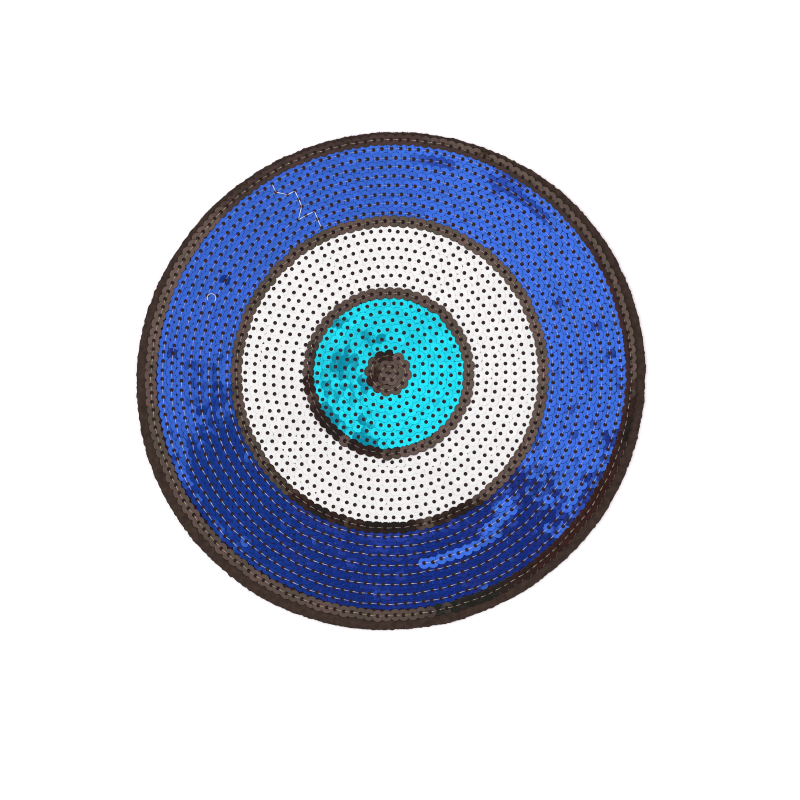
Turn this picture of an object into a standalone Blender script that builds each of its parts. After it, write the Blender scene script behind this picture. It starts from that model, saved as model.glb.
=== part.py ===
"""Round sequin patch with a concentric eye, built as its separate layers, rows and threads.

The patch lies face up. The origin is the centre of its underside, +Z is up through the
sequins and +Y is the top of the design. Lengths below are in metres, angles in radians.
"""

import math

import bmesh
import bpy

MM = 0.001
DEGREE = math.pi / 180
TURN = 2 * math.pi

# The stack under the sequins, from the floor up.
FILM_THICKNESS = 0.10 * MM
BOBBIN_GAP = 0.16 * MM
STABILISER_THICKNESS = 0.25 * MM
FABRIC_THICKNESS = 0.80 * MM
FABRIC_BOTTOM = FILM_THICKNESS + BOBBIN_GAP + STABILISER_THICKNESS
FABRIC_TOP = FABRIC_BOTTOM + FABRIC_THICKNESS

# The cut edge is a slightly squashed and skewed circle.
EDGE_RADIUS = 61.75 * MM
EDGE_WIDENING = 0.68 * MM
EDGE_SKEW = 0.56 * MM
EDGE_SIDES = 96
BACKING_INSET = 0.4 * MM

# One sequin: a flat disc of plastic film with a centre hole for the needle.
SEQUIN_RADIUS = 1.5 * MM
SEQUIN_THICKNESS = 0.10 * MM

# Row 1 is the innermost. The step between rows grows a little on the way out, and the
# border keeps a little further out again, with its centre down and to the left.
ROW_START = 0.03 * MM
ROW_STEP = 2.142 * MM
ROW_SPREAD = 0.0038 * MM
BORDER_GAP = 0.13 * MM
BORDER_SHIFT = -0.20 * MM
PUPIL_ROWS = range(1, 3)
IRIS_ROWS = range(3, 9)
IRIS_OUTLINE = 9
WHITE_ROWS = range(10, 17)
WHITE_OUTLINE = 17
BLUE_ROWS = range(18, 26)
BORDER = 26

# Distance from one needle hole to the next along a row.
STITCH = 2.19 * MM
BLUE_STITCH = 2.21 * MM
BORDER_STITCH = 2.12 * MM

# The cloth pulled while it was stitched: the outer rows slid sideways and went out of round.
EYE_X = -0.71 * MM
EYE_Y = 1.93 * MM
PULL_RADIUS = 53.8 * MM
PULL_X = 0.74 * MM
PULL_Y = -0.78 * MM
PULL_WIDENING = 0.20 * MM
PULL_SKEW = 0.29 * MM

# Heights over the fabric. A row's outer edge rides up on the row outside it.
ROW_FLOOR = 0.01 * MM
LAP_GAP = 0.02 * MM
ROW_RISE = (SEQUIN_THICKNESS + LAP_GAP) / ROW_STEP
# An outline row lies on the rows at both of its sides.
OUTLINE_INNER_HEIGHT = 0.35 * MM
OUTLINE_OUTER_HEIGHT = 0.18 * MM
BORDER_INNER_HEIGHT = 0.48 * MM

# How finely the rows are faceted.
FIELD_SEQUINS_PER_SIDE = 3
FIELD_LEAST_SIDES = 18

# The clear filament that holds the sequins, and the spun thread on the underside.
FILAMENT_RADIUS = 0.06 * MM
FILAMENT_LIFT = FILAMENT_RADIUS + 0.05 * MM
HOP_LIFT = 0.10 * MM
SEQUINS_PER_THREAD_SIDE = 5
THREAD_LEAST_SIDES = 12
BOBBIN_RADIUS = 0.06 * MM
SEQUINS_PER_BOBBIN_SIDE = 12
BOBBIN_LEAST_SIDES = 8
SEAM_ANGLE = 115 * DEGREE

# A loose end of filament curls on the blue, left of the design's top.
TAIL_ANGLE = 157 * DEGREE
TAIL_DISTANCE = 47.0 * MM
TAIL_RADIUS = 1.1 * MM
TAIL_START = -40 * DEGREE
TAIL_SWEEP = 260 * DEGREE
TAIL_SIDES = 12
TAIL_HEIGHT = 0.44 * MM


def clear_scene():
    for old in list(bpy.data.objects):
        bpy.data.objects.remove(old, do_unlink=True)


def from_srgb(red, green, blue):
    """Linear RGBA from 0 to 255 display values."""
    linear = []
    for value in (red, green, blue):
        share = value / 255
        if share <= 0.04045:
            linear.append(share / 12.92)
        else:
            linear.append(((share + 0.055) / 1.055) ** 2.4)
    return (*linear, 1.0)


def make_material(name, colour, roughness):
    material = bpy.data.materials.new(name)
    material.use_nodes = True
    shader = material.node_tree.nodes["Principled BSDF"]
    shader.inputs["Base Color"].default_value = colour
    shader.inputs["Roughness"].default_value = roughness
    shader.inputs["Metallic"].default_value = 0.0
    material.diffuse_color = colour
    return material


def squash(angle, widening, skew):
    """How far a nearly round outline bulges at this angle."""
    return widening * math.cos(2 * angle) + skew * math.sin(2 * angle)


def angles(sides):
    return [TURN * side / sides for side in range(sides)]


def edge_point(angle, inset):
    """A point of the patch's cut edge, or that far inside it."""
    radius = EDGE_RADIUS + squash(angle, EDGE_WIDENING, EDGE_SKEW) - inset
    return radius * math.cos(angle), radius * math.sin(angle)


def row_radius(row):
    radius = ROW_START + ROW_STEP * row + ROW_SPREAD * row * row
    if row == BORDER:
        radius += BORDER_GAP
    return radius


def row_point(row, angle, offset=0.0):
    """A point on the row's centre line, or that far outside it."""
    radius = row_radius(row)
    pull = (radius / PULL_RADIUS) ** 2
    distance = radius + offset + pull**2 * squash(angle, PULL_WIDENING, PULL_SKEW)
    x = EYE_X + pull * PULL_X + distance * math.cos(angle)
    y = EYE_Y + pull * PULL_Y + distance * math.sin(angle)
    if row == BORDER:
        x += BORDER_SHIFT
        y += BORDER_SHIFT
    return x, y


def sequin_count(row):
    stitch = STITCH
    if row in BLUE_ROWS:
        stitch = BLUE_STITCH
    if row == BORDER:
        stitch = BORDER_STITCH
    return round(TURN * row_radius(row) / stitch)


def edge_heights(row):
    """Heights of the underside over the fabric at a row's inner and outer edges."""
    if row == BORDER:
        return BORDER_INNER_HEIGHT, ROW_FLOOR
    if row in (IRIS_OUTLINE, WHITE_OUTLINE):
        return OUTLINE_INNER_HEIGHT, OUTLINE_OUTER_HEIGHT
    return ROW_FLOOR, ROW_FLOOR + 2 * SEQUIN_RADIUS * ROW_RISE


def row_height(row, offset):
    """Height of a row's underside, that far outside its centre line."""
    inner, outer = edge_heights(row)
    share = (offset + SEQUIN_RADIUS) / (2 * SEQUIN_RADIUS)
    return FABRIC_TOP + inner + share * (outer - inner)


def row_top(row):
    """Height of a row's upper side on its centre line."""
    return row_height(row, 0.0) + SEQUIN_THICKNESS


def link(name, data, material, parts):
    data.materials.append(material)
    part = bpy.data.objects.new(name, data)
    parts.objects.link(part)
    return part


def make_layer(name, bottom, thickness, inset, material, parts):
    """A flat layer of cloth or film with the patch's outline."""
    curve = bpy.data.curves.new(name, "CURVE")
    curve.dimensions = "2D"
    curve.fill_mode = "BOTH"
    curve.extrude = thickness / 2
    spline = curve.splines.new("POLY")
    spline.points.add(EDGE_SIDES - 1)
    spline.use_cyclic_u = True
    for point, angle in zip(spline.points, angles(EDGE_SIDES)):
        point.co = (*edge_point(angle, inset), 0.0, 1.0)
    layer = link(name, curve, material, parts)
    layer.location.z = bottom + thickness / 2


def plain_outline(row):
    """Angles and half widths of a row drawn as a plain band."""
    sides = round(sequin_count(row) / FIELD_SEQUINS_PER_SIDE)
    sides = max(sides, FIELD_LEAST_SIDES)
    return [(angle, SEQUIN_RADIUS) for angle in angles(sides)]


def scalloped_outline(row):
    """The same for a row whose sequins bulge one by one at both edges."""
    count = sequin_count(row)
    half_stitch = math.pi * row_radius(row) / count
    notch = math.sqrt(SEQUIN_RADIUS**2 - half_stitch**2)
    outline = []
    for corner, angle in enumerate(angles(2 * count)):
        outline.append((angle, notch if corner % 2 else SEQUIN_RADIUS))
    return outline


def add_loop(mesh, row, outline, side, lift):
    """One closed loop of corners: side is -1 at the inner edge and 1 at the outer."""
    loop = []
    for angle, half_width in outline:
        offset = side * half_width
        x, y = row_point(row, angle, offset)
        loop.append(mesh.verts.new((x, y, row_height(row, offset) + lift)))
    return loop


def join_loops(mesh, first, second):
    sides = len(first)
    for side in range(sides):
        after = (side + 1) % sides
        mesh.faces.new((first[side], first[after], second[after], second[side]))


def make_row(name, row, material, parts, scalloped=False):
    """A ring of lapped sequins, tilted so that the next row tucks under it."""
    outline = scalloped_outline(row) if scalloped else plain_outline(row)
    mesh = bmesh.new()
    under_inner = add_loop(mesh, row, outline, -1, 0.0)
    under_outer = add_loop(mesh, row, outline, 1, 0.0)
    top_outer = add_loop(mesh, row, outline, 1, SEQUIN_THICKNESS)
    top_inner = add_loop(mesh, row, outline, -1, SEQUIN_THICKNESS)
    join_loops(mesh, under_outer, under_inner)
    join_loops(mesh, top_outer, under_outer)
    join_loops(mesh, top_inner, top_outer)
    join_loops(mesh, under_inner, top_inner)
    bmesh.ops.recalc_face_normals(mesh, faces=mesh.faces)
    data = bpy.data.meshes.new(name)
    mesh.to_mesh(data)
    mesh.free()
    link(name, data, material, parts)


def stitched_path(rows, sequins_per_side, least_sides, height_of, hop):
    """One thread's path: round each row in turn, outermost first, hopping inward between rows."""
    path = []
    for row in sorted(rows, reverse=True):
        sides = max(round(sequin_count(row) / sequins_per_side), least_sides)
        if path:
            hop_angle = SEAM_ANGLE - TURN / sides / 2
            path.append((*row_point(row, hop_angle, SEQUIN_RADIUS), height_of(row) + hop))
        for angle in angles(sides):
            path.append((*row_point(row, SEAM_ANGLE + angle), height_of(row)))
    return path


def make_thread(name, path, radius, material, parts):
    curve = bpy.data.curves.new(name, "CURVE")
    curve.dimensions = "3D"
    curve.bevel_depth = radius
    curve.bevel_resolution = 0
    curve.use_fill_caps = True
    spline = curve.splines.new("POLY")
    spline.points.add(len(path) - 1)
    for point, place in zip(spline.points, path):
        point.co = (*place, 1.0)
    spline.use_smooth = True
    link(name, curve, material, parts)


def make_filament(name, rows, material, parts):
    """The clear thread that holds one block of sequins down."""

    def height(row):
        return row_top(row) + FILAMENT_LIFT

    path = stitched_path(rows, SEQUINS_PER_THREAD_SIDE, THREAD_LEAST_SIDES, height, HOP_LIFT)
    make_thread(name, path, FILAMENT_RADIUS, material, parts)


def make_bobbin_thread(material, parts):
    """The underside thread of every row, between the stabiliser and the film."""

    def height(row):
        return FILM_THICKNESS + BOBBIN_GAP / 2

    rows = range(1, BORDER + 1)
    path = stitched_path(rows, SEQUINS_PER_BOBBIN_SIDE, BOBBIN_LEAST_SIDES, height, 0.0)
    make_thread("bobbin_thread", path, BOBBIN_RADIUS, material, parts)


def make_tail(material, parts):
    """The loose end of filament, curled like a C open at the bottom."""
    middle_x = EYE_X + TAIL_DISTANCE * math.cos(TAIL_ANGLE)
    middle_y = EYE_Y + TAIL_DISTANCE * math.sin(TAIL_ANGLE)
    path = []
    for side in range(TAIL_SIDES + 1):
        angle = TAIL_START + TAIL_SWEEP * side / TAIL_SIDES
        x = middle_x + TAIL_RADIUS * math.cos(angle)
        y = middle_y + TAIL_RADIUS * math.sin(angle)
        path.append((x, y, FABRIC_TOP + TAIL_HEIGHT))
    make_thread("thread_tail", path, FILAMENT_RADIUS, material, parts)


def make_layers(parts):
    film = make_material("hot_melt_film", from_srgb(214, 212, 204), 0.4)
    stabiliser = make_material("stabiliser", from_srgb(226, 224, 216), 0.9)
    fabric = make_material("ground_fabric", from_srgb(62, 48, 40), 0.95)
    make_layer("hot_melt_film", 0.0, FILM_THICKNESS, BACKING_INSET, film, parts)
    stabiliser_bottom = FILM_THICKNESS + BOBBIN_GAP
    make_layer("stabiliser", stabiliser_bottom, STABILISER_THICKNESS, BACKING_INSET, stabiliser, parts)
    make_layer("ground_fabric", FABRIC_BOTTOM, FABRIC_THICKNESS, 0.0, fabric, parts)


def make_rows(parts):
    dark = make_material("dark_sequin", from_srgb(58, 44, 40), 0.3)
    turquoise = make_material("turquoise_sequin", from_srgb(12, 186, 208), 0.25)
    white = make_material("white_sequin", from_srgb(240, 240, 238), 0.35)
    blue = make_material("blue_sequin", from_srgb(32, 84, 208), 0.25)
    for number, row in enumerate(PUPIL_ROWS, 1):
        make_row(f"pupil_row_{number}", row, dark, parts, scalloped=True)
    for number, row in enumerate(IRIS_ROWS, 1):
        make_row(f"iris_row_{number}", row, turquoise, parts)
    make_row("iris_outline_row", IRIS_OUTLINE, dark, parts, scalloped=True)
    for number, row in enumerate(WHITE_ROWS, 1):
        make_row(f"white_row_{number}", row, white, parts)
    make_row("white_outline_row", WHITE_OUTLINE, dark, parts, scalloped=True)
    for number, row in enumerate(BLUE_ROWS, 1):
        make_row(f"blue_row_{number}", row, blue, parts)
    make_row("border_row", BORDER, dark, parts, scalloped=True)


def make_threads(parts):
    clear = make_material("filament", from_srgb(205, 202, 196), 0.3)
    spun = make_material("bobbin_thread", from_srgb(232, 230, 224), 0.7)
    make_filament("pupil_thread", PUPIL_ROWS, clear, parts)
    make_filament("iris_thread", IRIS_ROWS, clear, parts)
    make_filament("iris_outline_thread", [IRIS_OUTLINE], clear, parts)
    make_filament("white_thread", WHITE_ROWS, clear, parts)
    make_filament("white_outline_thread", [WHITE_OUTLINE], clear, parts)
    make_filament("blue_thread", BLUE_ROWS, clear, parts)
    make_filament("border_thread", [BORDER], clear, parts)
    make_tail(clear, parts)
    make_bobbin_thread(spun, parts)


def build():
    clear_scene()
    parts = bpy.data.collections.new("sequin_eye_patch")
    bpy.context.scene.collection.children.link(parts)
    make_layers(parts)
    make_rows(parts)
    make_threads(parts)


build()
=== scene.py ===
"""Looks of the sequin eye patch: every sequin, stitch and layer, placed on the CAD frame.

The patch lies face up. Lengths are in metres, +Z is up through the sequins and +Y is the top
of the design. Angles run counterclockwise from +X.
"""

import math

import bpy
import numpy as np
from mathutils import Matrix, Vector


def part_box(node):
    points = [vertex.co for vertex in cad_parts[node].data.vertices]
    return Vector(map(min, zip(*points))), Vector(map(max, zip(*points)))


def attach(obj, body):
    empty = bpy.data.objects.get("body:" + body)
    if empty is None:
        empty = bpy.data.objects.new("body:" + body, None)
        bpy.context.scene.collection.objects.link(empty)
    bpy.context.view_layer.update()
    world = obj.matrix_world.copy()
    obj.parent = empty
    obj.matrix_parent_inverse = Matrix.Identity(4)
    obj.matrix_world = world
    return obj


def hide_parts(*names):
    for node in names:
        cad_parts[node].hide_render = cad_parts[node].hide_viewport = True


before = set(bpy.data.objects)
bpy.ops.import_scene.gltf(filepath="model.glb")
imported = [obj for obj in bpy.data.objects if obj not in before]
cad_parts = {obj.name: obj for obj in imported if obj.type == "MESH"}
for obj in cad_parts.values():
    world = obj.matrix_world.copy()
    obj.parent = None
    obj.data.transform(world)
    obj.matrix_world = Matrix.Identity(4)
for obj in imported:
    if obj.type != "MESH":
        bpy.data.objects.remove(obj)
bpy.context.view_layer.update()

MM = 0.001
DEGREE = math.pi / 180
TURN = 2 * math.pi
RANDOM = np.random.default_rng(26)

# One sequin: a disc of film, its punched hole, and the rim that the punch turned down.
SEQUIN_RADIUS = 1.5 * MM
HOLE_RADIUS = 0.49 * MM
SEQUIN_THICKNESS = 0.06 * MM
RIM_WIDTH = 0.085 * MM
RIM_DROP = 0.034 * MM
SEQUIN_SIDES = 24
CREASE_ANGLE = 8 * DEGREE

# Rows in each block. The outlines and the border are one row each.
PUPIL_ROWS = 2
IRIS_ROWS = 6
WHITE_ROWS = 7
BLUE_ROWS = 8

# Distance from one needle hole to the next along a row, as in the CAD.
STITCH = 2.19 * MM
BLUE_STITCH = 2.21 * MM
BORDER_STITCH = 2.12 * MM
# Every row starts and ends at the seam.
SEAM_ANGLE = 115 * DEGREE
# The patch is pulled a little askew: by PULL_SKEW at PULL_RADIUS, and hardly nearer the middle.
PULL_SKEW = 0.29 * MM
PULL_RADIUS = 53.8 * MM

# No two sequins lie quite alike: how far they slip, lean and curl, as standard deviations.
SLIP = 0.08 * MM
LEAN = {"blue": 0.0085, "dark": 0.0055, "turquoise": 0.0075, "white": 0.006}
ODD_LEAN = 0.035
ODD_SHARE = 0.025
CURL = 0.004 * MM

# The clear filament. Its white, part see-through colour is partly its own milkiness and partly a
# painted glint, painted strongest where it bends sharply out of a hole.
FILAMENT_RADIUS = 0.065 * MM
FILAMENT_SIDES = 6
# Shares of white on the filament for each block, and at the bend out of each hole: its milkiness
# with a painted glint, set higher over the dark and blue rows than over the turquoise and white.
MILKY_AND_GLINT = {"pupil": 0.22, "iris": 0.03, "iris_outline": 0.12, "white": 0.05,
         "white_outline": 0.18, "blue": 0.24, "border": 0.22}
KINK_GLINT = {"pupil": 0.34, "iris": 0.05, "iris_outline": 0.26, "white": 0.10,
              "white_outline": 0.36, "blue": 0.52, "border": 0.55}
# How much the milkiness differs from one stitch to the next.
MILKY_VARIES = (0.8, 1.15)
# Along part of the blue and border rows, on the lit side, less painted glint is put on the
# filament: the middle and half width of that part, and how much of the milkiness and glint is left
# there.
DIMMER_GLINT = {"blue": (70 * DEGREE, 118 * DEGREE, 0.5), "border": (42 * DEGREE, 34 * DEGREE, 0.25)}
# Over the dark rows it is tinted tan: a painted reflection of the brown sequins under the clear
# filament.
TAN_REFLECTION_BLOCKS = ("pupil", "iris_outline", "white_outline", "border")

# Where the sequins lean otherwise than the rest of their row: x, y, reach along, reach across
# (mm), turn (degrees), and the slopes that are added along x and y.
TILTS = [
    (-12.8, 4.2, 2.7, 4.0, 0, -0.032, 0.0),
    (-13.4, -10.6, 6.6, 1.9, 132, -0.030, 0.0),
    (-5.0, -15.7, 4.6, 1.6, 165, -0.034, 0.0),
    (-1.0, 6.0, 2.6, 1.3, 0, -0.045, 0.0),
    (-4.3, 1.2, 1.0, 1.2, 0, -0.030, 0.0),
    (-48.0, 2.0, 3.0, 3.5, 0, -0.012, 0.0),
    (-17.5, -33.3, 8.5, 2.6, -28, -0.026, 0.0),
    (0.0, -37.5, 10.0, 2.6, 0, -0.026, 0.0),
    (17.0, -33.5, 7.5, 2.6, 28, -0.024, 0.0),
    (10.2, -43.9, 5.4, 1.2, 10, 0.072, 0.0),
    (18.5, -40.6, 4.0, 1.3, 27, 0.070, 0.0),
    (24.6, -36.4, 4.2, 1.5, 42, 0.058, 0.0),
    (28.5, -30.5, 3.6, 2.6, 50, 0.030, 0.0),
    (41.0, -16.0, 17.0, 7.5, 0, 0.009, 0.0),
    (9.5, 54.4, 10.0, 1.8, -10, 0.0, -0.108),
    (27.5, 47.6, 9.0, 3.0, -30, 0.0, -0.088),
    (37.5, 41.0, 4.5, 1.4, -42, 0.0, -0.080),
]
# How the sequins of each kind of row lie on the row inside and on their neighbour: the slopes by
# which the outer edge (rise) and the clockwise edge (lap) lift, and the middle's height above
# the cloth.
ROW_LIE = {
    "pupil": (0.020, 0.008, 0.15 * MM),
    "iris": (0.029, 0.004, 0.15 * MM),
    "iris_outline": (0.050, 0.018, 0.30 * MM),
    "white": (0.046, 0.040, 0.16 * MM),
    "last_white": (0.022, 0.036, 0.15 * MM),
    "white_outline": (0.048, 0.027, 0.37 * MM),
    "border": (-0.075, 0.008, 0.34 * MM),
}
# The blue rows lean most about the middle of the field, and less with the square of the number
# of rows from there.
BLUE_HEIGHT = 0.165 * MM
BLUE_RISE, BLUE_RISE_ROW, BLUE_RISE_FALL = 0.071, 4.7, 0.0007
BLUE_LAP, BLUE_LAP_ROW, BLUE_LAP_FALL = 0.070, 4.0, 0.0010
# The cloth waves gently: how many waves, their lengths, and the slope that each adds.
WAVES = 7
WAVE_LENGTHS = (14 * MM, 34 * MM)
WAVE_SLOPE = 0.0035
# From BORDER_TURN_UP, and BORDER_TURN_SPREAD to either side, the outer halves of the border
# sequins are turned up.
BORDER_TURN_UP = 30 * DEGREE
BORDER_TURN_SPREAD = 48 * DEGREE
BORDER_TURN_SLOPE = 0.160

low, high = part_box("ground_fabric")
FABRIC_TOP = high.z
FABRIC_BOTTOM = low.z
FABRIC_HALF_X = high.x
FABRIC_HALF_Y = high.y
EDGE_SKEW = 0.56 * MM


def spot_strength(x, y, spot):
    """1 in the middle of an oval spot and 0 outside it."""
    middle_x, middle_y, along, across, turn = spot[:5]
    cosine, sine = math.cos(turn * DEGREE), math.sin(turn * DEGREE)
    dx, dy = x - middle_x * MM, y - middle_y * MM
    u = (dx * cosine + dy * sine) / (along * MM)
    v = (dy * cosine - dx * sine) / (across * MM)
    return math.exp(-(u * u + v * v) ** 2)


def make_waves():
    waves = []
    for _ in range(WAVES):
        heading = RANDOM.uniform(0.0, TURN)
        number = TURN / RANDOM.uniform(*WAVE_LENGTHS)
        direction = np.array([math.cos(heading), math.sin(heading)])
        waves.append((direction, number, RANDOM.uniform(0.0, TURN)))
    return waves


CLOTH_WAVES = make_waves()


def cloth_slope(place):
    """Slopes of the cloth along x and y, and the extra lean of the sequins sewn there."""
    slope = np.zeros(2)
    for direction, number, phase in CLOTH_WAVES:
        slope += WAVE_SLOPE * direction * math.sin(number * float(place @ direction) + phase)
    for spot in TILTS:
        slope += spot_strength(*place, spot) * np.array(spot[5:])
    return slope


class Row:
    """One ring of sequins. Its place comes from the CAD ring that it replaces."""

    def __init__(self, node, colour, stitch, lie):
        ring_low, ring_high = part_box(node)
        half = (ring_high - ring_low) / 2
        self.node = node
        self.block = node.split("_row")[0]
        self.colour = colour
        self.x, self.y, _ = (ring_high + ring_low) / 2
        self.radius = (half.x + half.y) / 2 - SEQUIN_RADIUS
        self.widening = (half.x - half.y) / 2
        self.skew = PULL_SKEW * (self.radius / PULL_RADIUS) ** 4
        self.count = round(TURN * self.radius / stitch)
        self.rise, self.lap, height = lie
        self.height = FABRIC_TOP + height

    def point(self, angle, offset=0.0):
        """The place at an angle around the row, or at an offset outward from it."""
        reach = self.radius + offset
        reach += self.widening * math.cos(2 * angle) + self.skew * math.sin(2 * angle)
        return np.array([self.x + reach * math.cos(angle), self.y + reach * math.sin(angle)])


def blue_lie(number):
    rise = BLUE_RISE - BLUE_RISE_FALL * (number - BLUE_RISE_ROW) ** 2
    lap = BLUE_LAP - BLUE_LAP_FALL * (number - BLUE_LAP_ROW) ** 2
    return rise, lap, BLUE_HEIGHT


def make_rows():
    """All rows, innermost first."""
    rows = []
    for number in range(1, PUPIL_ROWS + 1):
        rows.append(Row(f"pupil_row_{number}", "dark", STITCH, ROW_LIE["pupil"]))
    for number in range(1, IRIS_ROWS + 1):
        rows.append(Row(f"iris_row_{number}", "turquoise", STITCH, ROW_LIE["iris"]))
    rows.append(Row("iris_outline_row", "dark", STITCH, ROW_LIE["iris_outline"]))
    for number in range(1, WHITE_ROWS + 1):
        lie = ROW_LIE["last_white" if number == WHITE_ROWS else "white"]
        rows.append(Row(f"white_row_{number}", "white", STITCH, lie))
    rows.append(Row("white_outline_row", "dark", STITCH, ROW_LIE["white_outline"]))
    for number in range(1, BLUE_ROWS + 1):
        rows.append(Row(f"blue_row_{number}", "blue", BLUE_STITCH, blue_lie(number)))
    rows.append(Row("border_row", "dark", BORDER_STITCH, ROW_LIE["border"]))
    return rows


class Sequin:
    """Where one disc lies: its centre, the height and the slopes there, and its fold and curl."""

    def __init__(self, row, number):
        angle = SEAM_ANGLE + TURN * number / row.count
        slip = RANDOM.normal(0.0, SLIP, 2)
        outward = np.array([math.cos(angle), math.sin(angle)])
        onward = np.array([-math.sin(angle), math.cos(angle)])
        self.centre = row.point(angle, slip[0]) + slip[1] * onward
        lean = RANDOM.normal(0.0, LEAN[row.colour], 2)
        if RANDOM.uniform() < ODD_SHARE:
            lean += RANDOM.normal(0.0, ODD_LEAN, 2)
        self.slope = row.rise * outward - row.lap * onward + lean + cloth_slope(self.centre)
        self.height = row.height
        self.outward = outward
        self.fold = 0.0
        if row.block == "border":
            away = (angle - BORDER_TURN_UP + math.pi) % TURN - math.pi
            self.fold = BORDER_TURN_SLOPE * math.exp(-(away / BORDER_TURN_SPREAD) ** 4)
        self.curl = RANDOM.normal(0.0, CURL, 3)
        self.spin = RANDOM.uniform(0.0, TURN)
        self.shade = RANDOM.uniform(0.0, 1.0)

    def top(self, place):
        """Height of the upper side, or of its plane carried on past the rim."""
        return self.height + SEQUIN_THICKNESS / 2 + float((place - self.centre) @ self.slope)


def sequin_template():
    """Points and faces of one flat disc with its hole."""
    half = SEQUIN_THICKNESS / 2
    loops = [
        (HOLE_RADIUS, -half),
        (SEQUIN_RADIUS - RIM_WIDTH, -half),
        (SEQUIN_RADIUS, -half - RIM_DROP),
        (SEQUIN_RADIUS, half - RIM_DROP),
        (SEQUIN_RADIUS - RIM_WIDTH, half),
        ((SEQUIN_RADIUS + HOLE_RADIUS) / 2, half),
        (HOLE_RADIUS, half),
    ]
    points = []
    for radius, height in loops:
        for side in range(SEQUIN_SIDES):
            angle = TURN * side / SEQUIN_SIDES
            points.append((radius * math.cos(angle), radius * math.sin(angle), height))
    faces = []
    for loop in range(len(loops)):
        after = (loop + 1) % len(loops)
        for side in range(SEQUIN_SIDES):
            turn = (side + 1) % SEQUIN_SIDES
            corners = (loop, side), (loop, turn), (after, turn), (after, side)
            faces.append([ring * SEQUIN_SIDES + place for ring, place in corners])
    return np.array(points), np.array(faces)


DISC_POINTS, DISC_FACES = sequin_template()


def disc_points(sequin):
    """The template turned, curled, tilted and moved to where a sequin lies."""
    cosine, sine = math.cos(sequin.spin), math.sin(sequin.spin)
    flat = DISC_POINTS[:, :2] @ np.array([[cosine, sine], [-sine, cosine]])
    u, v = DISC_POINTS[:, 0] / SEQUIN_RADIUS, DISC_POINTS[:, 1] / SEQUIN_RADIUS
    saddle, twist, cup = sequin.curl
    height = DISC_POINTS[:, 2] + flat @ sequin.slope + sequin.height
    height += saddle * (u * u - v * v) + twist * 2 * u * v + cup * (u * u + v * v)
    height += sequin.fold * np.maximum(flat @ sequin.outward, 0.0)
    return np.column_stack([flat + sequin.centre, height])


def add_piece(name, data, material, slot, *nodes):
    """Links a piece, and says what it rides on and what it replaces. The slot is not used."""
    data.materials.append(material)
    piece = bpy.data.objects.new(name, data)
    bpy.context.scene.collection.objects.link(piece)
    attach(piece, "root")
    if nodes:
        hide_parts(*nodes)
    return piece


def new_mesh(name, points, faces):
    mesh = bpy.data.meshes.new(name)
    mesh.from_pydata(np.asarray(points, dtype=float).tolist(), [], faces)
    mesh.validate()
    return mesh


def make_sequin_row(row, sequins, material):
    points = np.concatenate([disc_points(sequin) for sequin in sequins])
    size = len(DISC_POINTS)
    faces = np.concatenate([DISC_FACES + number * size for number in range(len(sequins))])
    mesh = new_mesh(row.node + "_sequins", points, faces.tolist())
    mesh.shade_smooth()
    mesh.set_sharp_from_angle(angle=CREASE_ANGLE)
    shade = mesh.attributes.new("shade", "FLOAT", "POINT")
    shade.data.foreach_set("value", np.repeat([sequin.shade for sequin in sequins], size))
    add_piece(mesh.name, mesh, material, f"{row.colour}_sequin", row.node)


# One stitch of filament. It leaves a hole, crosses the edge of the next sequin and enters that
# sequin's hole. Each distance is from the middle of the hole that it leaves or enters.
LEAVE_LOW = 0.16 * MM
LEAVE_HOLE = 0.36 * MM
LEAVE_TOP = 0.50 * MM
CROSS_EDGE = 1.46 * MM
CROSS_DISC = 1.05 * MM
CROSS_LAST = 0.62 * MM
ENTER_TOP = 0.50 * MM
ENTER_HOLE = 0.32 * MM
ENTER_LOW = 0.16 * MM
STITCH_LIFT = 0.01 * MM
LAST_MILKY = 0.8
# Its thickness: usual, where it starts to bend, at the bend, past it, and near the second hole.
USUAL, BENDING, BENT, PAST_BEND, PULLED = 1.0, 1.1, 1.3, 1.2, 0.9


def stitch_points(first, second, milky_and_glint, kink_glint):
    """The filament out of one hole, over the edge of the next sequin, and down its hole.

    Each point is x, y, height, thickness (1 is usual) and milkiness, with the painted glint in it.
    """
    start, end = first.centre, second.centre
    span = np.linalg.norm(end - start)
    along = (end - start) / span
    bottom = FABRIC_TOP + STITCH_LIFT
    points = []

    def add(distance, height, thickness, milkiness_and_glint):
        points.append((*(start + along * distance), height, thickness, milkiness_and_glint))

    def over(distance, thickness, milkiness_and_glint, *sequins):
        place = start + along * distance
        height = max(sequin.top(place) for sequin in sequins) + FILAMENT_RADIUS * thickness
        add(distance, height, thickness, milkiness_and_glint)

    add(LEAVE_LOW, bottom, USUAL, 0.0)
    # The kink shares paint the glint where the filament bends up out of the hole.
    add(LEAVE_HOLE, (bottom + first.height) / 2, BENDING, kink_glint / 2)
    over(LEAVE_TOP, BENT, kink_glint, first)
    over(span - CROSS_EDGE, PAST_BEND, (2 * kink_glint + milky_and_glint) / 3, first, second)
    over(span - CROSS_DISC, USUAL, milky_and_glint, second)
    over(span - CROSS_LAST, PULLED, milky_and_glint * LAST_MILKY, second)
    over(span - ENTER_TOP, PULLED, 0.0, second)
    add(span - ENTER_HOLE, (bottom + second.height) / 2, PULLED, 0.0)
    add(span - ENTER_LOW, bottom, USUAL, 0.0)
    return points


def glint_by_angle(block, angle):
    """How much of its usual milkiness and painted glint the filament has at an angle around the
    rows.
    """
    if block not in DIMMER_GLINT:
        return 1.0
    middle, reach, least = DIMMER_GLINT[block]
    away = (angle - middle + math.pi) % TURN - math.pi
    return 1.0 - (1.0 - least) * math.exp(-(away / reach) ** 6)


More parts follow.
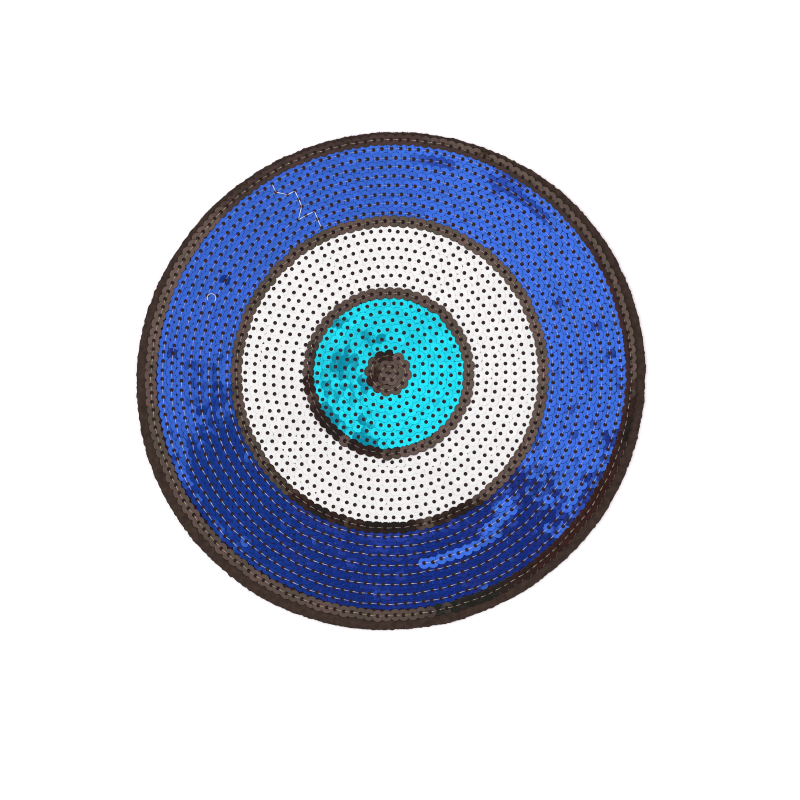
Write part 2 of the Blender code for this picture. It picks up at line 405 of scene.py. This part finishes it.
def row_thread(row, sequins):
    """The path of the filament once around a row."""
    path = []
    for first, second in zip(sequins, sequins[1:] + sequins[:1]):
        # Less painted glint on the lit side of the blue and border rows.
        glint_share = glint_by_angle(row.block, math.atan2(first.centre[1], first.centre[0]))
        glint_share *= RANDOM.uniform(*MILKY_VARIES)
        path += stitch_points(first, second, glint_share * MILKY_AND_GLINT[row.block],
                              glint_share * KINK_GLINT[row.block])
    return path


def tube(path, closed):
    """Points and faces of a round tube, and the milkiness with its painted glint at each point."""
    path = np.array(path)
    places = path[:, :3]
    if closed:
        ahead = np.roll(places, -1, axis=0) - np.roll(places, 1, axis=0)
    else:
        ahead = np.gradient(places, axis=0)
    ahead /= np.linalg.norm(ahead, axis=1)[:, None]
    aside = np.cross(ahead, (0.0, 0.0, 1.0))
    aside /= np.linalg.norm(aside, axis=1)[:, None]
    above = np.cross(aside, ahead)
    turns = TURN * np.arange(FILAMENT_SIDES) / FILAMENT_SIDES
    radii = FILAMENT_RADIUS * path[:, 3]
    ring = aside[:, None] * np.cos(turns)[:, None] + above[:, None] * np.sin(turns)[:, None]
    points = (places[:, None] + ring * radii[:, None, None]).reshape(-1, 3)
    faces = []
    length = len(path)
    for step in range(length if closed else length - 1):
        here, after = step * FILAMENT_SIDES, (step + 1) % length * FILAMENT_SIDES
        for side in range(FILAMENT_SIDES):
            turn = (side + 1) % FILAMENT_SIDES
            faces.append((here + side, here + turn, after + turn, after + side))
    if not closed:
        faces.append(tuple(range(FILAMENT_SIDES))[::-1])
        faces.append(tuple((length - 1) * FILAMENT_SIDES + side for side in range(FILAMENT_SIDES)))
    return points, faces, np.repeat(path[:, 4], FILAMENT_SIDES)


def joined(tubes):
    """Points, faces and milkiness with painted glint of several tubes as one mesh."""
    points, faces, milkiness_and_glint = [], [], []
    for tube_points, tube_faces, tube_milkiness_and_glint in tubes:
        faces += [tuple(corner + len(points) for corner in face) for face in tube_faces]
        points += tube_points.tolist()
        milkiness_and_glint += tube_milkiness_and_glint.tolist()
    return points, faces, milkiness_and_glint


def make_filament(name, tubes, material, node):
    points, faces, milkiness_and_glint = joined(tubes)
    mesh = new_mesh(name, points, faces)
    mesh.shade_smooth()
    mesh.attributes.new("milky_and_glint", "FLOAT", "POINT").data.foreach_set("value", milkiness_and_glint)
    # 1 on the dark rows, where the tan painted reflection is put.
    tan_reflection = [1.0 if name.startswith(TAN_REFLECTION_BLOCKS) else 0.0] * len(points)
    mesh.attributes.new("tan_reflection", "FLOAT", "POINT").data.foreach_set("value", tan_reflection)
    add_piece(name, mesh, material, "filament", node)


# The travel stitches that cross the blue near the seam, as row and angle (degrees), outermost
# first. Blue row 8 is the outermost.
TRAVEL = [(8, 121.5), (7, 121.4), (6, 120.5), (6, 118.1), (5, 118.4), (4, 118.5), (3, 119.3),
          (3, 116.5), (3, 113.6), (2, 113.8), (1, 113.5)]
# Between two of its holes: share of the way, height (mm), thickness and milkiness, which is high in
# the middle with a painted glint.
TRAVEL_SHAPE = [(0.06, -0.10, 1.1, 0.15), (0.20, 0.02, 1.6, 0.8), (0.45, 0.10, 1.5, 0.75),
                (0.75, 0.06, 1.2, 0.55), (0.92, -0.06, 1.0, 0.2)]


def nearest(sequins, row, angle):
    """The sequin of a row that is nearest to an angle in degrees."""
    place = row.point(angle * DEGREE)
    return min(sequins, key=lambda sequin: np.linalg.norm(sequin.centre - place))


def travel_thread(placed):
    """A filament from hole to hole across the rows, lying on whatever is highest."""
    stops = [nearest(placed[f"blue_row_{number}"][1], placed[f"blue_row_{number}"][0], angle)
             for number, angle in TRAVEL]
    path = []
    for first, second in zip(stops, stops[1:]):
        span = second.centre - first.centre
        for share, lift, thickness, milkiness_and_glint in TRAVEL_SHAPE:
            place = first.centre + span * share
            height = max(first.top(place), second.top(place)) + FILAMENT_RADIUS * thickness
            path.append((*place, height + lift * MM, thickness, milkiness_and_glint))
    return path


# The loose end of filament, curled like a C open at the bottom, as in the CAD. Toward its end it
# curls tighter and lifts.
TAIL_RADIUS = 1.1 * MM
TAIL_TIGHTENS = 0.12
TAIL_LIFT = 0.12 * MM
TAIL_THICKNESS = 1.15
TAIL_MILKY = 0.8
TAIL_START = -40 * DEGREE
TAIL_SWEEP = 260 * DEGREE
TAIL_SIDES = 40


def tail_path():
    tail_low, tail_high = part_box("thread_tail")
    middle = (tail_low + tail_high) / 2
    middle_y = tail_high.y - TAIL_RADIUS - FILAMENT_RADIUS
    path = []
    for side in range(TAIL_SIDES + 1):
        share = side / TAIL_SIDES
        angle = TAIL_START + TAIL_SWEEP * share
        radius = TAIL_RADIUS * (1.0 - TAIL_TIGHTENS * share)
        x = middle.x + radius * math.cos(angle)
        y = middle_y + radius * math.sin(angle)
        path.append((x, y, middle.z + TAIL_LIFT * share, TAIL_THICKNESS, TAIL_MILKY))
    return path


# The bobbin threads run below the stabiliser, and are drawn up a little at each needle hole.
BOBBIN_RADIUS = 0.06 * MM
BOBBIN_STEPS = 4
BOBBIN_LIFT = 0.012 * MM
BOBBIN_WAVER = 0.05 * MM
BOBBIN_VARIES = (0.8, 1.0)


def bobbin_path(row, sequins, middle):
    """Once around a row, under its sequins, at about the height of middle."""
    path = []
    steps = row.count * BOBBIN_STEPS
    for step in range(steps):
        here, part = divmod(step, BOBBIN_STEPS)
        start = sequins[here].centre
        end = sequins[(here + 1) % row.count].centre
        place = start + (end - start) * part / BOBBIN_STEPS
        place = place + RANDOM.normal(0.0, BOBBIN_WAVER, 2)
        height = middle + BOBBIN_LIFT * math.cos(TURN * part / BOBBIN_STEPS)
        thickness = BOBBIN_RADIUS / FILAMENT_RADIUS * RANDOM.uniform(*BOBBIN_VARIES)
        path.append((*place, height, thickness, 1.0))
    return path


def make_bobbin_threads(placed, material):
    node_low, node_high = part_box("bobbin_thread")
    middle = (node_low.z + node_high.z) / 2
    tubes = [tube(bobbin_path(row, sequins, middle), closed=True)
             for row, sequins in placed.values()]
    points, faces, _ = joined(tubes)
    mesh = new_mesh("bobbin_threads", points, faces)
    mesh.shade_smooth()
    add_piece("bobbin_threads", mesh, material, "bobbin_thread", "bobbin_thread")


# The two backing layers. Each row of stitching but the innermost shows in them as a low ridge.
LAYER_SIDES = 240
RIDGE_REACH = 0.5 * MM
RIDGE = 0.025 * MM
LAYER_WAVER = 0.004 * MM
LAYER_CUT_WAVER = 0.04 * MM


def disc_faces(sides, size):
    """Faces of a closed disc: two middle points, then a column of size points for each side."""
    faces = []
    for side in range(sides):
        here, after = 2 + side * size, 2 + (side + 1) % sides * size
        faces.append((0, here, after))
        faces.append((1, after + size - 1, here + size - 1))
        for step in range(size - 1):
            faces.append((here + step, here + step + 1, after + step + 1, after + step))
    return faces


def layer_column(rows, angle, inset):
    """Places from the middle to the edge, and how high the ridge is at each."""
    column = []
    for row in rows[1:]:
        for offset, ridge in ((-RIDGE_REACH, 0.0), (0.0, 1.0), (RIDGE_REACH, 0.0)):
            column.append((row.point(angle, offset), ridge))
    direction = np.array([math.cos(angle), math.sin(angle)])
    reach = edge_radius(angle) - inset + RANDOM.normal(0.0, LAYER_CUT_WAVER)
    column.append((direction * (reach - RIDGE_REACH), 0.0))
    column.append((direction * reach, 0.0))
    return column


def make_layer(name, node, rows, material):
    """A thin disc, its underside level but for the ridges, closed at its cut edge."""
    node_low, node_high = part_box(node)
    inset = FABRIC_HALF_X - node_high.x
    points = [(0.0, 0.0, node_high.z), (0.0, 0.0, node_low.z + RIDGE)]
    for side in range(LAYER_SIDES):
        column = layer_column(rows, TURN * side / LAYER_SIDES, inset)
        for place, _ in column:
            points.append((*place, node_high.z - abs(RANDOM.normal(0.0, LAYER_WAVER))))
        for place, ridge in column[::-1]:
            bottom = node_low.z + RIDGE * (1.0 - ridge) + abs(RANDOM.normal(0.0, LAYER_WAVER))
            points.append((*place, bottom))
    mesh = new_mesh(name, points, disc_faces(LAYER_SIDES, 2 * len(column)))
    mesh.shade_smooth()
    piece = add_piece(name, mesh, material, node, node)


def make_sequins(materials):
    """All rows of sequins. Returns each row and its sequins by the name of the row's CAD node."""
    placed = {}
    for row in make_rows():
        sequins = [Sequin(row, number) for number in range(row.count)]
        make_sequin_row(row, sequins, materials[row.colour])
        placed[row.node] = (row, sequins)
    return placed


def make_filaments(placed, material):
    """The filament over each block of rows, and the loose end."""
    blocks = {}
    for row, sequins in placed.values():
        blocks.setdefault(row.block, []).append(tube(row_thread(row, sequins), closed=True))
    blocks["blue"].append(tube(travel_thread(placed), closed=False))
    for block, tubes in blocks.items():
        make_filament(f"{block}_filament", tubes, material, f"{block}_thread")
    tail = [tube(tail_path(), closed=False)]
    make_filament("loose_filament_end", tail, material, "thread_tail")


def make_backing(placed, materials):
    rows = [row for row, _ in placed.values()]
    make_layer("hot_melt_film_sheet", "hot_melt_film", rows, materials["film"])
    make_layer("stabiliser_sheet", "stabiliser", rows, materials["stabiliser"])


def edge_radius(angle):
    """Reach of the cloth at an angle, before the wobble of the cut."""
    mean = (FABRIC_HALF_X + FABRIC_HALF_Y) / 2
    widening = (FABRIC_HALF_X - FABRIC_HALF_Y) / 2
    return mean + widening * math.cos(2 * angle) + EDGE_SKEW * math.sin(2 * angle)


# The cloth disc: how finely it is divided, and how its edge was cut.
CLOTH_SIDES = 1440
CUT_INSET = 0.12 * MM
CUT_WAVES = (3, 5, 9, 17, 40, 90, 180, 360)
CUT_WAVE_SIZE = 0.08 * MM
FRAY = 0.13 * MM
# The shares of the way out at which its upper side has points: a few under the sequins, and
# many across the margin.
COVERED_SHARES = [0.3, 0.6, 0.85]
MARGIN_START = 0.90
MARGIN_END = 0.9995
MARGIN_LOOPS = 24
# The nap of the bare cloth, and how its upper edge rounds off at the cut.
NAP = 0.018 * MM
NAP_START = 0.86
ROUNDING = 0.10 * MM
ROUNDING_START = 0.985
ROUNDING_WIDTH = 0.0145
# Where the cloth comes out from under the sequins, and how gradually the painted shade under them
# fades out.
BARE_START = 0.925
BARE_FADE = 0.02
# The cut face: its top and bottom edges, measured from the cloth's two sides, and how rough.
CUT_TOP = 0.28 * MM
CUT_BOTTOM = 0.20 * MM
CUT_ROUGHNESS = 0.03 * MM
UNDERSIDE_SHARES = (0.998, 0.5)


def cut_outline():
    """Reach of the cut edge at each side, with the scissors' wobble and frayed threads."""
    reach = np.zeros(CLOTH_SIDES)
    turns = np.arange(CLOTH_SIDES) * TURN / CLOTH_SIDES
    for waves in CUT_WAVES:
        size = CUT_WAVE_SIZE * math.sqrt(CUT_WAVES[0] / waves)
        reach += size * np.sin(waves * turns + RANDOM.uniform(0.0, TURN))
    frays = RANDOM.normal(0.0, FRAY, CLOTH_SIDES)
    reach += (np.roll(frays, 1) + frays + np.roll(frays, -1)) / 3
    return reach + [edge_radius(turn) - CUT_INSET for turn in turns]


def upper_shares():
    width = MARGIN_END - MARGIN_START
    margin = [MARGIN_START + width * loop / MARGIN_LOOPS for loop in range(MARGIN_LOOPS + 1)]
    return COVERED_SHARES + margin


def fabric_column(reach, shares):
    """Radius and height of the points from the middle of the upper side round to the underside."""
    column = []
    for share in shares:
        nap = RANDOM.normal(0.0, NAP) if share > NAP_START else 0.0
        fall = ROUNDING * max(0.0, (share - ROUNDING_START) / ROUNDING_WIDTH) ** 2
        column.append((reach * share, FABRIC_TOP + nap - fall))
    column.append((reach + RANDOM.normal(0.0, CUT_ROUGHNESS), FABRIC_TOP - CUT_TOP))
    column.append((reach + RANDOM.normal(0.0, CUT_ROUGHNESS), FABRIC_BOTTOM + CUT_BOTTOM))
    column += [(reach * share, FABRIC_BOTTOM) for share in UNDERSIDE_SHARES]
    return column


def make_fabric(material):
    shares = upper_shares()
    points = [(0.0, 0.0, FABRIC_TOP), (0.0, 0.0, FABRIC_BOTTOM)]
    bare = [0.0, 0.0]
    for side, reach in enumerate(cut_outline()):
        angle = TURN * side / CLOTH_SIDES
        column = fabric_column(reach, shares)
        points += [(radius * math.cos(angle), radius * math.sin(angle), height)
                   for radius, height in column]
        # 0 under the sequins, where the painted shade is put, and 1 on the bare margin.
        bare += [min(1.0, max(0.0, (share - BARE_START) / BARE_FADE)) for share in shares]
        bare += [1.0] * (len(column) - len(shares))
    faces = disc_faces(CLOTH_SIDES, len(column))
    mesh = new_mesh("fabric_disc", points, faces)
    mesh.shade_smooth()
    mesh.attributes.new("bare", "FLOAT", "POINT").data.foreach_set("value", bare)
    piece = add_piece("fabric_disc", mesh, material, "ground_fabric", "ground_fabric")


# Materials.

# For each colour of sequin: the base colours of the darkest and the lightest disc, the surface's
# other values, and its roughness.
SEQUIN_LOOKS = {
    "dark": (
        (0.026, 0.0185, 0.0125, 1), (0.040, 0.0230, 0.0190, 1),
        {"Metallic": 0.8}, 0.09),
    "turquoise": (
        (0.002, 0.265, 0.40, 1), (0.003, 0.30, 0.445, 1),
        {"Metallic": 0.42, "Specular IOR Level": 1.0, "Specular Tint": (0.08, 1.0, 0.1, 1)}, 0.08),
    "white": (
        (0.635, 0.648, 0.625, 1), (0.675, 0.688, 0.665, 1),
        {"Specular IOR Level": 0.4}, 0.25),
    "blue": (
        (0.0086, 0.0190, 0.235, 1), (0.0108, 0.0235, 0.290, 1),
        {"Metallic": 0.62, "Specular IOR Level": 1.0, "Specular Tint": (0.25, 1.0, 0.47, 1)}, 0.08),
}
# Scuffs make a disc's roughness vary between these shares of it.
SMOOTHER, ROUGHER = 0.8, 1.25


def display(red, green, blue):
    """Linear colour from 0 to 255 display values."""
    shares = [value / 255 for value in (red, green, blue)]
    linear = [s / 12.92 if s <= 0.04045 else ((s + 0.055) / 1.055) ** 2.4 for s in shares]
    return (*linear, 1.0)


def grey(value):
    return (value, value, value, 1.0)


class Shader:
    """A material with a Principled surface and short ways to add and join nodes."""

    def __init__(self, name):
        self.material = bpy.data.materials.new(name)
        self.material.use_nodes = True
        self.nodes = self.material.node_tree.nodes
        self.surface = self.nodes["Principled BSDF"]

    def join(self, out, into):
        self.material.node_tree.links.new(out, into)

    def feed(self, socket, out):
        self.join(out, self.surface.inputs[socket])

    def set(self, values):
        for socket, value in values.items():
            self.surface.inputs[socket].default_value = value

    def attribute(self, name):
        node = self.nodes.new("ShaderNodeAttribute")
        node.attribute_name = name
        return node.outputs["Fac"]

    def noise(self, scale, detail=3.0):
        """Noise fixed to the piece. scale is in features for each metre."""
        place = self.nodes.new("ShaderNodeTexCoord")
        node = self.nodes.new("ShaderNodeTexNoise")
        node.inputs["Scale"].default_value = scale
        node.inputs["Detail"].default_value = detail
        self.join(place.outputs["Object"], node.inputs["Vector"])
        return node.outputs["Fac"]

    def ramp(self, value, *stops):
        """Each stop is a place from 0 to 1 and a colour."""
        node = self.nodes.new("ShaderNodeValToRGB")
        elements = node.color_ramp.elements
        while len(elements) < len(stops):
            elements.new(0.5)
        for element, (place, colour) in zip(elements, stops):
            element.position = place
            element.color = colour
        self.join(value, node.inputs["Fac"])
        return node.outputs["Color"]

    def mix(self, share, first, second):
        node = self.nodes.new("ShaderNodeMix")
        node.data_type = "RGBA"
        self.join(share, node.inputs["Factor"])
        self.join(first, node.inputs["A"])
        self.join(second, node.inputs["B"])
        return node.outputs["Result"]

    def bump(self, height, distance):
        node = self.nodes.new("ShaderNodeBump")
        node.inputs["Distance"].default_value = distance
        self.join(height, node.inputs["Height"])
        self.feed("Normal", node.outputs["Normal"])


def sequin_material(colour, dull, bright, values, roughness):
    """Dyed film: each disc has its own shade, and faint scuffs vary the gloss."""
    shader = Shader(f"sequin_{colour}")
    shader.feed("Base Color", shader.ramp(shader.attribute("shade"), (0.0, dull), (1.0, bright)))
    scuffs = shader.noise(900.0, 4.0)
    smooth, rough = grey(roughness * SMOOTHER), grey(roughness * ROUGHER)
    shader.feed("Roughness", shader.ramp(scuffs, (0.35, smooth), (0.7, rough)))
    shader.set(values)
    shader.bump(shader.noise(1500.0, 2.0), 0.003 * MM)
    return shader.material


def filament_material():
    """Nylon: white where its milkiness and painted glint show, and tinted tan over the dark rows as
    a painted reflection of the brown sequins under it.
    """
    shader = Shader("filament_clear")
    haze = shader.noise(4000.0, 2.0)
    untinted = shader.ramp(haze, (0.3, display(222, 220, 216)), (0.7, display(244, 243, 242)))
    # Painted reflection: the tan of the brown sequins seen through the filament.
    yellow = shader.ramp(haze, (0.3, display(196, 180, 152)), (0.7, display(222, 210, 184)))
    shader.feed("Base Color", shader.mix(shader.attribute("tan_reflection"), untinted, yellow))
    # The milkiness with its painted glint sets how much of the white shows.
    shader.feed("Alpha", shader.attribute("milky_and_glint"))
    shader.feed("Roughness", shader.ramp(haze, (0.3, grey(0.2)), (0.7, grey(0.35))))
    shader.bump(haze, 0.004 * MM)
    return shader.material


def fabric_material():
    """Brown napped cloth: mottled, and darker and redder under the sequins than on the bare margin,
    the darkening a painted shade of the sequins over it.
    """
    shader = Shader("fabric_brown")
    mottle = shader.noise(700.0, 6.0)
    bare = shader.ramp(mottle, (0.32, display(40, 30, 25)), (0.68, display(60, 46, 38)))
    # Painted shade: the cloth under the sequins is painted darker, as seen through their holes.
    shaded_covered = shader.ramp(mottle, (0.32, display(38, 26, 30)), (0.68, display(52, 34, 38)))
    shader.feed("Base Color", shader.mix(shader.attribute("bare"), shaded_covered, bare))
    shader.set({"Roughness": 0.95, "Specular IOR Level": 0.2})
    shader.bump(shader.noise(3200.0, 5.0), 0.12 * MM)
    return shader.material


def stabiliser_material():
    """White non-woven sheet with its fibres as fine relief."""
    shader = Shader("stabiliser_white")
    fibres = shader.noise(1800.0, 6.0)
    colour = shader.ramp(fibres, (0.3, display(205, 202, 194)), (0.7, display(238, 236, 230)))
    shader.feed("Base Color", colour)
    shader.set({"Roughness": 0.9})
    shader.bump(fibres, 0.06 * MM)
    return shader.material


def film_material():
    """Milky iron-on film, unevenly glossy."""
    shader = Shader("hot_melt_film_milky")
    haze = shader.noise(500.0, 4.0)
    colour = shader.ramp(haze, (0.3, display(200, 198, 190)), (0.7, display(222, 220, 213)))
    shader.feed("Base Color", colour)
    shader.feed("Roughness", shader.ramp(haze, (0.3, grey(0.32)), (0.7, grey(0.55))))
    shader.bump(shader.noise(1500.0, 3.0), 0.03 * MM)
    return shader.material


def bobbin_material():
    """Off-white spun thread."""
    shader = Shader("bobbin_white")
    ply = shader.noise(5000.0, 3.0)
    colour = shader.ramp(ply, (0.3, display(214, 211, 204)), (0.7, display(240, 238, 233)))
    shader.feed("Base Color", colour)
    shader.set({"Roughness": 0.75})
    shader.bump(ply, 0.02 * MM)
    return shader.material


def make_materials():
    made = {colour: sequin_material(colour, *look) for colour, look in SEQUIN_LOOKS.items()}
    made["filament"] = filament_material()
    made["bobbin"] = bobbin_material()
    made["film"] = film_material()
    made["stabiliser"] = stabiliser_material()
    return made


# The camera looks straight down, a little to the right of the patch's middle and below it.
CAMERA_DISTANCE = 0.64
FIELD_WIDTH = 0.19576
CAMERA_X = 2.15 * MM
CAMERA_Y = -4.67 * MM
SENSOR = 36.0
CLIP_START = 0.01


def make_camera():
    data = bpy.data.cameras.new("camera")
    camera = bpy.data.objects.new("camera", data)
    bpy.context.scene.collection.objects.link(camera)
    data.sensor_width = SENSOR
    data.lens = SENSOR * CAMERA_DISTANCE / FIELD_WIDTH
    data.clip_start = CLIP_START
    camera.location = (CAMERA_X, CAMERA_Y, FABRIC_TOP + CAMERA_DISTANCE)
    bpy.context.scene.camera = camera


# The studio: flat lights side by side overhead, all facing down, which the sequins mirror. A big
# bright softbox is on the left and a dimmer wall is behind it. On the right are dim walls: near
# ones next to the softbox, bluish but for a warm part, and redder ones beyond them. Two fills
# farther out add soft light from both sides.
LIGHT_HEIGHT = 1.2
WORLD_STRENGTH = 0.14
WHITE = (1.0, 1.0, 1.0)
# Name, left, right, front and back side (m), radiance and colour.
PANELS = [
    ("softbox_lower", -0.75, 0.049, -0.75, 0.008, 2.8, WHITE),
    ("softbox_upper", -0.75, 0.049, 0.008, 0.225, 3.6, WHITE),
    ("upper_wall", -0.75, 0.75, 0.225, 1.0, 1.6, (0.94, 0.80, 0.92)),
    ("near_wall_lower", 0.049, 0.19, -0.60, -0.045, 0.54, (0.36, 0.90, 1.0)),
    ("near_wall_warm", 0.049, 0.10, -0.045, 0.225, 0.52, (1.0, 0.34, 0.32)),
    ("near_wall_upper", 0.10, 0.19, -0.045, 0.225, 0.34, (0.34, 0.74, 1.0)),
    ("far_wall_upper", 0.19, 0.75, -0.05, 0.225, 1.1, (1.0, 0.64, 0.82)),
    ("far_wall_warm", 0.19, 0.75, -0.26, -0.05, 0.85, (1.0, 0.34, 0.37)),
    ("far_wall_lower", 0.19, 0.45, -0.60, -0.26, 0.50, (1.0, 0.62, 0.62)),
    ("left_fill", -2.9, -1.35, -1.6, 1.6, 4.6, WHITE),
    ("right_fill", 1.35, 2.9, -1.6, 1.6, 4.9, WHITE),
]


def make_panel(name, left, right, front, back, radiance, colour):
    """A flat light that faces down. Its sides are given as x and y ranges."""
    data = bpy.data.lights.new(name, "AREA")
    data.shape = "RECTANGLE"
    data.size = right - left
    data.size_y = back - front
    data.energy = radiance * data.size * data.size_y * math.pi
    data.color = colour
    light = bpy.data.objects.new(name, data)
    light.location = ((left + right) / 2, (front + back) / 2, LIGHT_HEIGHT)
    bpy.context.scene.collection.objects.link(light)


def make_studio():
    for panel in PANELS:
        make_panel(*panel)
    world = bpy.data.worlds.new("studio")
    world.use_nodes = True
    background = world.node_tree.nodes["Background"]
    background.inputs["Color"].default_value = grey(1.0)
    background.inputs["Strength"].default_value = WORLD_STRENGTH
    bpy.context.scene.world = world
    bpy.context.scene.view_settings.view_transform = "Standard"
    bpy.context.scene.cycles.filter_width = 1.0


FLOOR_REACH = 3.0


def make_floor():
    corners = [(-1, -1), (1, -1), (1, 1), (-1, 1)]
    points = [(x * FLOOR_REACH, y * FLOOR_REACH, 0.0) for x, y in corners]
    mesh = new_mesh("floor", points, [(0, 1, 2, 3)])
    shader = Shader("floor_white")
    dust = shader.noise(40.0, 3.0)
    shader.feed("Base Color", shader.ramp(dust, (0.3, grey(0.975)), (0.7, grey(0.99))))
    shader.set({"Roughness": 0.9})
    mesh.materials.append(shader.material)
    floor = bpy.data.objects.new("floor", mesh)
    bpy.context.scene.collection.objects.link(floor)


make_camera()
make_studio()
make_floor()
materials = make_materials()
placed = make_sequins(materials)
make_filaments(placed, materials["filament"])
make_bobbin_threads(placed, materials["bobbin"])
make_backing(placed, materials)
make_fabric(fabric_material())
